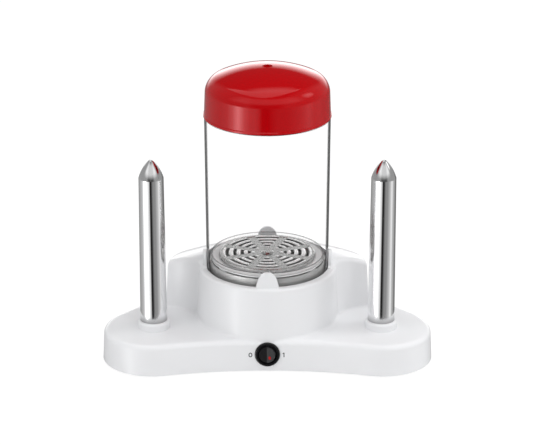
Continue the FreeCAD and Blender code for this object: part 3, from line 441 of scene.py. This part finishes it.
# %% The lands of one sector
SPOKES = 8
SPOKE_WIDTH = 0.0076
LANDS = (                       # radius and half width of each land
    (0.03455, 0.0018), (0.0274, 0.0017), (0.02045, 0.0016), (0.0135, 0.0014), (0.0412, 0.0011),
)
LAND_RISE = 0.0005
NARROW_END = 0.55               # width of a strip's end, as a share of its middle
SHEET_TOP = 0.0923              # height of the flat sheet
SUNK = 0.0002                   # how far a strip's underside lies in the sheet


def domed_strip(work, radius, half_width, steps=14, across=7):
    """Add one closed strip: domed on top, flat below, with rounded-down ends."""
    half_turn = math.pi / SPOKES - math.asin(SPOKE_WIDTH / 2 / radius)
    rows = []
    for step in range(steps + 1):
        along = 2 * step / steps - 1
        swell = math.sqrt(max(0.0, 1 - along ** 6))
        turn = half_turn * along
        row = []
        for index in range(across):
            side = 2 * index / (across - 1) - 1
            reach = radius + side * half_width * (NARROW_END + (1 - NARROW_END) * swell)
            rise = LAND_RISE * math.sqrt(max(0.0, 1 - side ** 2)) * swell
            row.append((reach * math.cos(turn), reach * math.sin(turn), SHEET_TOP + rise))
        low = SHEET_TOP - SUNK
        row += [(row[-1][0], row[-1][1], low), (row[0][0], row[0][1], low)]
        rows.append([work.verts.new(point) for point in row])
    count = across + 2
    for near, far in zip(rows, rows[1:]):
        for index in range(count):
            beside = (index + 1) % count
            work.faces.new((near[index], near[beside], far[beside], far[index]))
    work.faces.new(list(reversed(rows[0])))
    work.faces.new(rows[-1])


sector_work = bmesh.new()
for radius, half_width in LANDS:
    domed_strip(sector_work, radius, half_width)
bmesh.ops.recalc_face_normals(sector_work, faces=sector_work.faces)
sector = bpy.data.meshes.new("grid_sector")
sector_work.to_mesh(sector)
sector_work.free()
print("lands in a sector:", len(LANDS), "faces:", len(sector.polygons))

# %% Turn the sector round
turned_round = Recipe("turned_round", Sectors=float(SPOKES))
smooth = turned_round.node("GeometryNodeSetShadeSmooth", {}, {0: turned_round.given()})
centres = turned_round.node("GeometryNodePoints", {}, {"Count": turned_round.given("Sectors")})
share = turned_round.node("GeometryNodeInputIndex") * (2 * math.pi) / turned_round.given("Sectors")
spun = turned_round.node("ShaderNodeCombineXYZ", {}, {"Z": share})
sectors = turned_round.node("GeometryNodeInstanceOnPoints", {},
                            {"Points": centres, "Instance": smooth, "Rotation": spun})
turned_round.end(sectors, land_highlight_steel)
grid_lands = turned_round.piece("grid_lands", sector)
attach(grid_lands, "grid")
print("rolled lands:", len(grid_lands.data.polygons), "faces")

# %% [markdown]
# ## Marks beside the switch
# A 0 and a 1 are printed on the front wall, one on each side of the switch. A texture could show
# them, but a thin strip of ink keeps its edge sharp however near the camera comes. Its outline is
# laid on the wall by casting a ray from the front at every point, so it follows the hollow of the
# wall, and Solidify gives it the thickness of a print.

# %% Strips for the 0 and the 1
MARK_HEIGHT = 0.0172
STROKE = 0.0009
INK = 0.00012                   # thickness of the print
IN_FRONT = -0.2                 # where the rays start
OFF_PLACE, ON_PLACE = -0.0158, 0.0154           # across, left and right of the switch


def ring_strip(half_width, half_height, steps=40):
    """An oval ring as (points, faces)."""
    points, faces = [], []
    for index in range(steps):
        turn = 2 * math.pi * index / steps
        for inset in (0.0, STROKE):
            wide, tall = half_width - inset, half_height - inset
            points.append((wide * math.cos(turn), tall * math.sin(turn)))
    for index in range(steps):
        here, there = 2 * index, 2 * ((index + 1) % steps)
        faces.append((here, there, there + 1, here + 1))
    return points, faces


def one_strip(half_height):
    """An upright stroke with a short flag, as (points, faces)."""
    left, right, flag = -STROKE / 2, STROKE / 2, -0.0013
    top, drop = half_height, half_height - 0.0011
    points = [(left, -half_height), (right, -half_height), (right, drop), (left, drop),
              (right, top), (left, top), (flag, drop - 0.0002), (flag, drop + 0.0004)]
    return points, [(0, 1, 2, 3), (3, 2, 4, 5), (6, 3, 5, 7)]


def printed(name, strip, centre_x):
    """Lay a strip on the front wall, as a thin closed print."""
    points, faces = strip
    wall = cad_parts["housing"]
    laid = []
    for x, z in points:
        start = Vector((centre_x + x, IN_FRONT, MARK_HEIGHT + z))
        laid.append(wall.ray_cast(start, Vector((0.0, 1.0, 0.0)))[1])
    mesh = bpy.data.meshes.new(name)
    mesh.from_pydata(laid, [], faces)
    made = bpy.data.objects.new(name, mesh)
    bpy.context.scene.collection.objects.link(made)
    ink = made.modifiers.new("ink", "SOLIDIFY")
    ink.thickness = INK
    ink.offset = 0.0
    keep_plain(made, ink)
    made.data.materials.append(grey_ink.material)
    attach(made, "base")
    return made


mark_off = printed("switch_mark_off", ring_strip(0.0018, 0.0023), OFF_PLACE)
mark_on = printed("switch_mark_on", one_strip(0.0022), ON_PLACE)
print("marks lie at y =", [round(mark.data.vertices[0].co.y, 4) for mark in (mark_off, mark_on)])

# %% [markdown]
# ## Base screws
# The base is held by pan-head screws with a cross recess. One blank is turned from its outline.
# The tree cuts the cross out of its head with two bars, because a boolean keeps the recess a true
# shape, and copies it to the places of the plain screws, which it replaces.

# %% Turn one screw blank
def turned(name, outline, steps=24):
    """Spin an outline of (radius, height) round Z. The first and last points are on the axis."""
    work = bmesh.new()
    first = work.verts.new((0.0, 0.0, outline[0][1]))
    last = work.verts.new((0.0, 0.0, outline[-1][1]))
    turns = [2 * math.pi * i / steps for i in range(steps)]
    rings = []
    for radius, height in outline[1:-1]:
        ring = [(radius * math.cos(turn), radius * math.sin(turn), height) for turn in turns]
        rings.append([work.verts.new(point) for point in ring])
    for i in range(steps):
        j = (i + 1) % steps
        work.faces.new((first, rings[0][j], rings[0][i]))
        for low, high in zip(rings, rings[1:]):
            work.faces.new((low[i], low[j], high[j], high[i]))
        work.faces.new((last, rings[-1][i], rings[-1][j]))
    mesh = bpy.data.meshes.new(name)
    work.to_mesh(mesh)
    work.free()
    return mesh


screw_low, screw_high = (corner[2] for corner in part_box("base_screws"))
screw_length = screw_high - screw_low
HEAD, SHANK, HEAD_DEPTH = 0.0031, 0.0014, 0.0018
POINT = 0.0006                  # length of the tapered tip
blank = bpy.data.objects.new("screw_blank", turned("screw_blank", [
    (0.0, 0.0), (HEAD * 0.62, 0.0), (HEAD * 0.86, 0.00025), (HEAD * 0.97, 0.0008),
    (HEAD, HEAD_DEPTH), (SHANK, HEAD_DEPTH), (SHANK, screw_length - POINT),
    (SHANK * 0.5, screw_length), (0.0, screw_length)]))
print("blank faces:", len(blank.data.polygons))

# %% Places of the screws
LOWEST_LAYER = 0.0003           # points this near the bottom belong to a head's end face
APART = 0.01                    # points further apart than this belong to different screws


def screw_places():
    """The foot of each screw's axis, from the lowest points of the screw solids."""
    groups = []
    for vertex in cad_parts["base_screws"].data.vertices:
        if vertex.co.z < screw_low + LOWEST_LAYER:
            near = [group for group in groups if (group[0] - vertex.co).length < APART]
            if near:
                near[0].append(vertex.co.copy())
            else:
                groups.append([vertex.co.copy()])
    middles = []
    for group in groups:
        xs, ys = [p.x for p in group], [p.y for p in group]
        middles.append(((min(xs) + max(xs)) / 2, (min(ys) + max(ys)) / 2, screw_low))
    return middles


places = bpy.data.meshes.new("screw_places")
places.from_pydata(screw_places(), [], [])
print("screws:", [[round(v, 4) for v in vertex.co] for vertex in places.vertices])

# %% Cut the cross and copy the screw
screwed = Recipe("screws", Slot=0.0009, Span=0.0036, Depth=0.0011)
turned_blank = screwed.node("GeometryNodeObjectInfo", {}, {"Object": blank}, output="Geometry")
span, slot, depth = (screwed.given(size) for size in ("Span", "Slot", "Depth"))
bars = []
for length, width in ((span, slot), (slot, span)):
    size = screwed.node("ShaderNodeCombineXYZ", {}, {"X": length, "Y": width, "Z": depth * 2.0})
    bars.append(screwed.node("GeometryNodeMeshCube", {}, {"Size": size}))
recessed = screwed.node("GeometryNodeMeshBoolean", {"operation": "DIFFERENCE"},
                        {"Mesh 1": turned_blank, "Mesh 2": bars}, output="Mesh")
copies = screwed.node("GeometryNodeInstanceOnPoints", {},
                      {"Points": screwed.given(), "Instance": recessed})
screwed.end(copies, screw_steel)
cross_screws = screwed.piece("cross_screws", places)
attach(cross_screws, "base")
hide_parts("base_screws")
bpy.data.objects.remove(blank)
print("cross-head screws:", len(cross_screws.data.polygons), "faces")

# %% [markdown]
# ## Camera
# The camera stands well back with a long lens, and looks down by 21 degrees at the lower part of
# the cylinder. A short lens from nearby would make the two spikes lean apart.

# %% Camera
PITCH = math.radians(21.05)
DISTANCE = 2.0713
SENSOR = 36.0                   # mm across
FOCAL_PIXELS, IMAGE_PIXELS = 2200.0, 533.0
target = Vector((-0.00086, 0.0, 0.12232))
camera_data = bpy.data.cameras.new("camera")
camera_data.sensor_width = SENSOR
camera_data.lens = FOCAL_PIXELS / IMAGE_PIXELS * SENSOR
camera = bpy.data.objects.new("camera", camera_data)
bpy.context.scene.collection.objects.link(camera)
camera.location = target + DISTANCE * Vector((0.0, -math.cos(PITCH), math.sin(PITCH)))
camera.rotation_euler = (math.pi / 2 - PITCH, 0.0, 0.0)
bpy.context.scene.camera = camera
print("lens", round(camera_data.lens, 1), "mm from", [round(v, 3) for v in camera.location])

# %% [markdown]
# ## Floor
# The floor is a plain white sheet. As a lit sheet alone it would turn grey, and as a glow alone
# it would lose the shadow, so the camera sees a mix of both. To rays that leave a glossy surface
# it is open, so that they reach the boards of the studio.

# %% Floor
WHITE = (1.0, 1.0, 1.0, 1.0)
FLOOR_SHADE = (0.82, 0.82, 0.82, 1.0)
HALF_FLOOR = 6.0
GLOW = 1.12
GLOW_SHARE = 0.8                # the rest is the lit sheet


def seen_directly(rays):
    """1 for rays that come from the camera, or from it through clear glass."""
    return (rays.output("Is Camera Ray") + rays.output("Is Transmission Ray")).clipped()


floor_mesh = bpy.data.meshes.new("floor")
floor_mesh.from_pydata([(-HALF_FLOOR, -HALF_FLOOR, 0), (HALF_FLOOR, -HALF_FLOOR, 0),
                        (HALF_FLOOR, HALF_FLOOR, 0), (-HALF_FLOOR, HALF_FLOOR, 0)],
                       [], [(0, 1, 2, 3)])
floor = bpy.data.objects.new("floor", floor_mesh)
bpy.context.scene.collection.objects.link(floor)

floor_look = bpy.data.materials.new("floor")
floor_tree = Tree(floor_look)
floor_tree.nodes.clear()
rays = floor_tree.node("ShaderNodeLightPath")
sheet = floor_tree.node("ShaderNodeBsdfDiffuse", {}, {"Color": FLOOR_SHADE})
glow = floor_tree.node("ShaderNodeEmission", {}, {"Color": WHITE, "Strength": GLOW})
whitened = floor_tree.node("ShaderNodeMixShader", {},
                           {0: seen_directly(rays) * GLOW_SHARE, 1: sheet, 2: glow})
gap = floor_tree.node("ShaderNodeBsdfTransparent")
open_floor = floor_tree.node("ShaderNodeMixShader", {},
                             {0: rays.output("Is Glossy Ray"), 1: whitened, 2: gap})
floor_tree.node("ShaderNodeOutputMaterial", {}, {"Surface": open_floor})
floor_mesh.materials.append(floor_look)
print("floor ready")

# %% [markdown]
# ## World
# Polished metal shows what stands round it, so a studio puts up white, grey and black boards. Here
# the world plays their part, for glossy rays alone. A ring of screens from the horizon down draws
# the long bands on the spikes. Above it, a softbox, walls, a backdrop and a small spot draw the
# shapes on the lid. All other rays get an even sky, and the camera sees plain white.

# %% Directions and screens
SCREENS = [                     # degrees from the camera's side, and brightness
    (-180, 0.30), (-147, 0.30), (-94, 0.50), (-78, 0.80), (-66, 1.9), (-54, 5.0), (-42, 1.8),
    (-31, 0.92), (-23, 0.88), (-17, 0.62), (-10, 0.03), (1, 0.0), (8, 0.12), (18, 0.26),
    (36, 0.28), (50, 0.44), (60, 0.54), (70, 0.74), (80, 0.95), (94, 0.51), (108, 0.42),
    (124, 0.23), (147, 0.14), (180, 0.30),
]
BRIGHTEST = 5.0
world = bpy.data.worlds.new("studio")
bpy.context.scene.world = world
sky = Tree(world)
sky.nodes.clear()
heading = sky.node("ShaderNodeSeparateXYZ", {},
                   {0: sky.node("ShaderNodeTexCoord", output="Generated")})
east, north, up = (heading.output(axis) for axis in "XYZ")
turn = east.maths("ARCTAN2", east, 0.0 - north) / (2 * math.pi) + 0.5
screen_stops = [(degrees / 360.0 + 0.5, value / BRIGHTEST) for degrees, value in SCREENS]
screens = sky.node("ShaderNodeValToRGB", {"stops": screen_stops}, {"Fac": turn}) * BRIGHTEST
print("screens:", len(SCREENS))

# %% Boards above the screens
DIM_ROOM = 0.07                 # what gloss sees between the boards
SIDE_WALLS = 0.25               # broad panels on the left and right
FRONT_WALL = 0.60               # a broad panel high on the camera's side
SOFTBOX = 1.0                   # a box overhead, half an oval with a bowed edge
BACKDROP = 3.1                  # a bright sheet low behind the object
SPOT = 1.6                      # a small soft lamp high on the right
SPOT_WAY = (32.3, 3.4, 23.4)    # towards that lamp; the longer it is, the sharper the edge
SPOT_EDGE = 39.0


def board(*edges):
    """Where all the values are above 0: each rises from 0 to 1 over a soft edge."""
    mask = edges[0].clipped()
    for edge in edges[1:]:
        mask = mask * edge.clipped()
    return mask


# The softbox lies on a ceiling at height 1. Its middle is 0.10 to the left and it is 1.14 wide.
# Its back edge is 0.62 behind the centre, and it reaches 1.02 from there towards the camera.
level = up.maths("MAXIMUM", up, 0.02)
across = (east / level + 0.10) / 0.57
along = (0.62 + across * across * 0.25 - north / level) / 1.02
aside = east.maths("ABSOLUTE", east)
softbox = board((1.0 - across * across - along * along) * 8.0, along * 9.0) * SOFTBOX
front_wall = board(-0.3 - north * 3.0, up * 5.0 - 1.5, 9.0 - up * 10.0) * FRONT_WALL
backdrop = board(1.3 - up * 3.2, 1.5 - aside * 2.5, north * 4.0) * BACKDROP
side_walls = board(aside * 4.0 - 1.4) * SIDE_WALLS
spot = board(east * SPOT_WAY[0] + north * SPOT_WAY[1] + up * SPOT_WAY[2] - SPOT_EDGE) * SPOT
overhead = softbox + backdrop + front_wall + side_walls + spot + DIM_ROOM
print("boards ready")

# %% What each kind of ray sees
EVEN_SKY = 0.66


def background(strength):
    """White light from the world, at a strength that may vary with the direction."""
    return sky.node("ShaderNodeBackground", {}, {"Color": WHITE, "Strength": strength})


low = (0.2 - up * 8.0).clipped()
in_gloss = background(screens * low + overhead * (1.0 - low))
rays = sky.node("ShaderNodeLightPath")
lit = sky.node("ShaderNodeMixShader", {},
               {0: seen_directly(rays), 1: background(EVEN_SKY), 2: background(1.0)})
seen = sky.node("ShaderNodeMixShader", {}, {0: rays.output("Is Glossy Ray"), 1: lit, 2: in_gloss})
sky.node("ShaderNodeOutputWorld", {}, {"Surface": seen})
print("world ready")

# %% [markdown]
# ## Lamps
# Four soft lamps shade the white base gently: one overhead for the tops, two before it for the
# fronts, and a smaller one on the right, which leaves the left sides a little darker. They are
# hidden from glossy rays, because the boards of the world already stand for them there.

# %% Lamps
LAMPS = {                       # place, height of the point it faces, size, power in watts
    "overhead": ((0.15, -0.25, 1.5), 0.10, 1.0, 5.6),
    "left_fill": ((-1.25, -1.0, 0.7), 0.12, 0.9, 4.2),
    "front_fill": ((1.0, -1.7, 0.8), 0.10, 1.0, 4.2),
    "right_key": ((1.30, 0.10, 1.15), 0.12, 0.5, 6.0),
}
for name, (place, aim_height, size, power) in LAMPS.items():
    data = bpy.data.lights.new(name, "AREA")
    data.size = size
    data.energy = power
    lamp = bpy.data.objects.new(name, data)
    lamp.location = place
    aim = Vector((0.0, 0.0, aim_height)) - Vector(place)
    lamp.rotation_euler = aim.to_track_quat("-Z", "Y").to_euler()
    lamp.visible_glossy = False
    bpy.context.scene.collection.objects.link(lamp)
print("lamps:", len(LAMPS))

# %% [markdown]
# ## Colour and clear walls
# Standard shows each colour as it is written. A ray that crosses the cylinder and the tray passes
# many clear faces. Past the limit it ends in black, so the limit is raised.

# %% Colour and clear walls
bpy.context.scene.view_settings.view_transform = "Standard"
bpy.context.scene.cycles.transparent_max_bounces = 48
print("clear faces that a ray may cross:", bpy.context.scene.cycles.transparent_max_bounces)
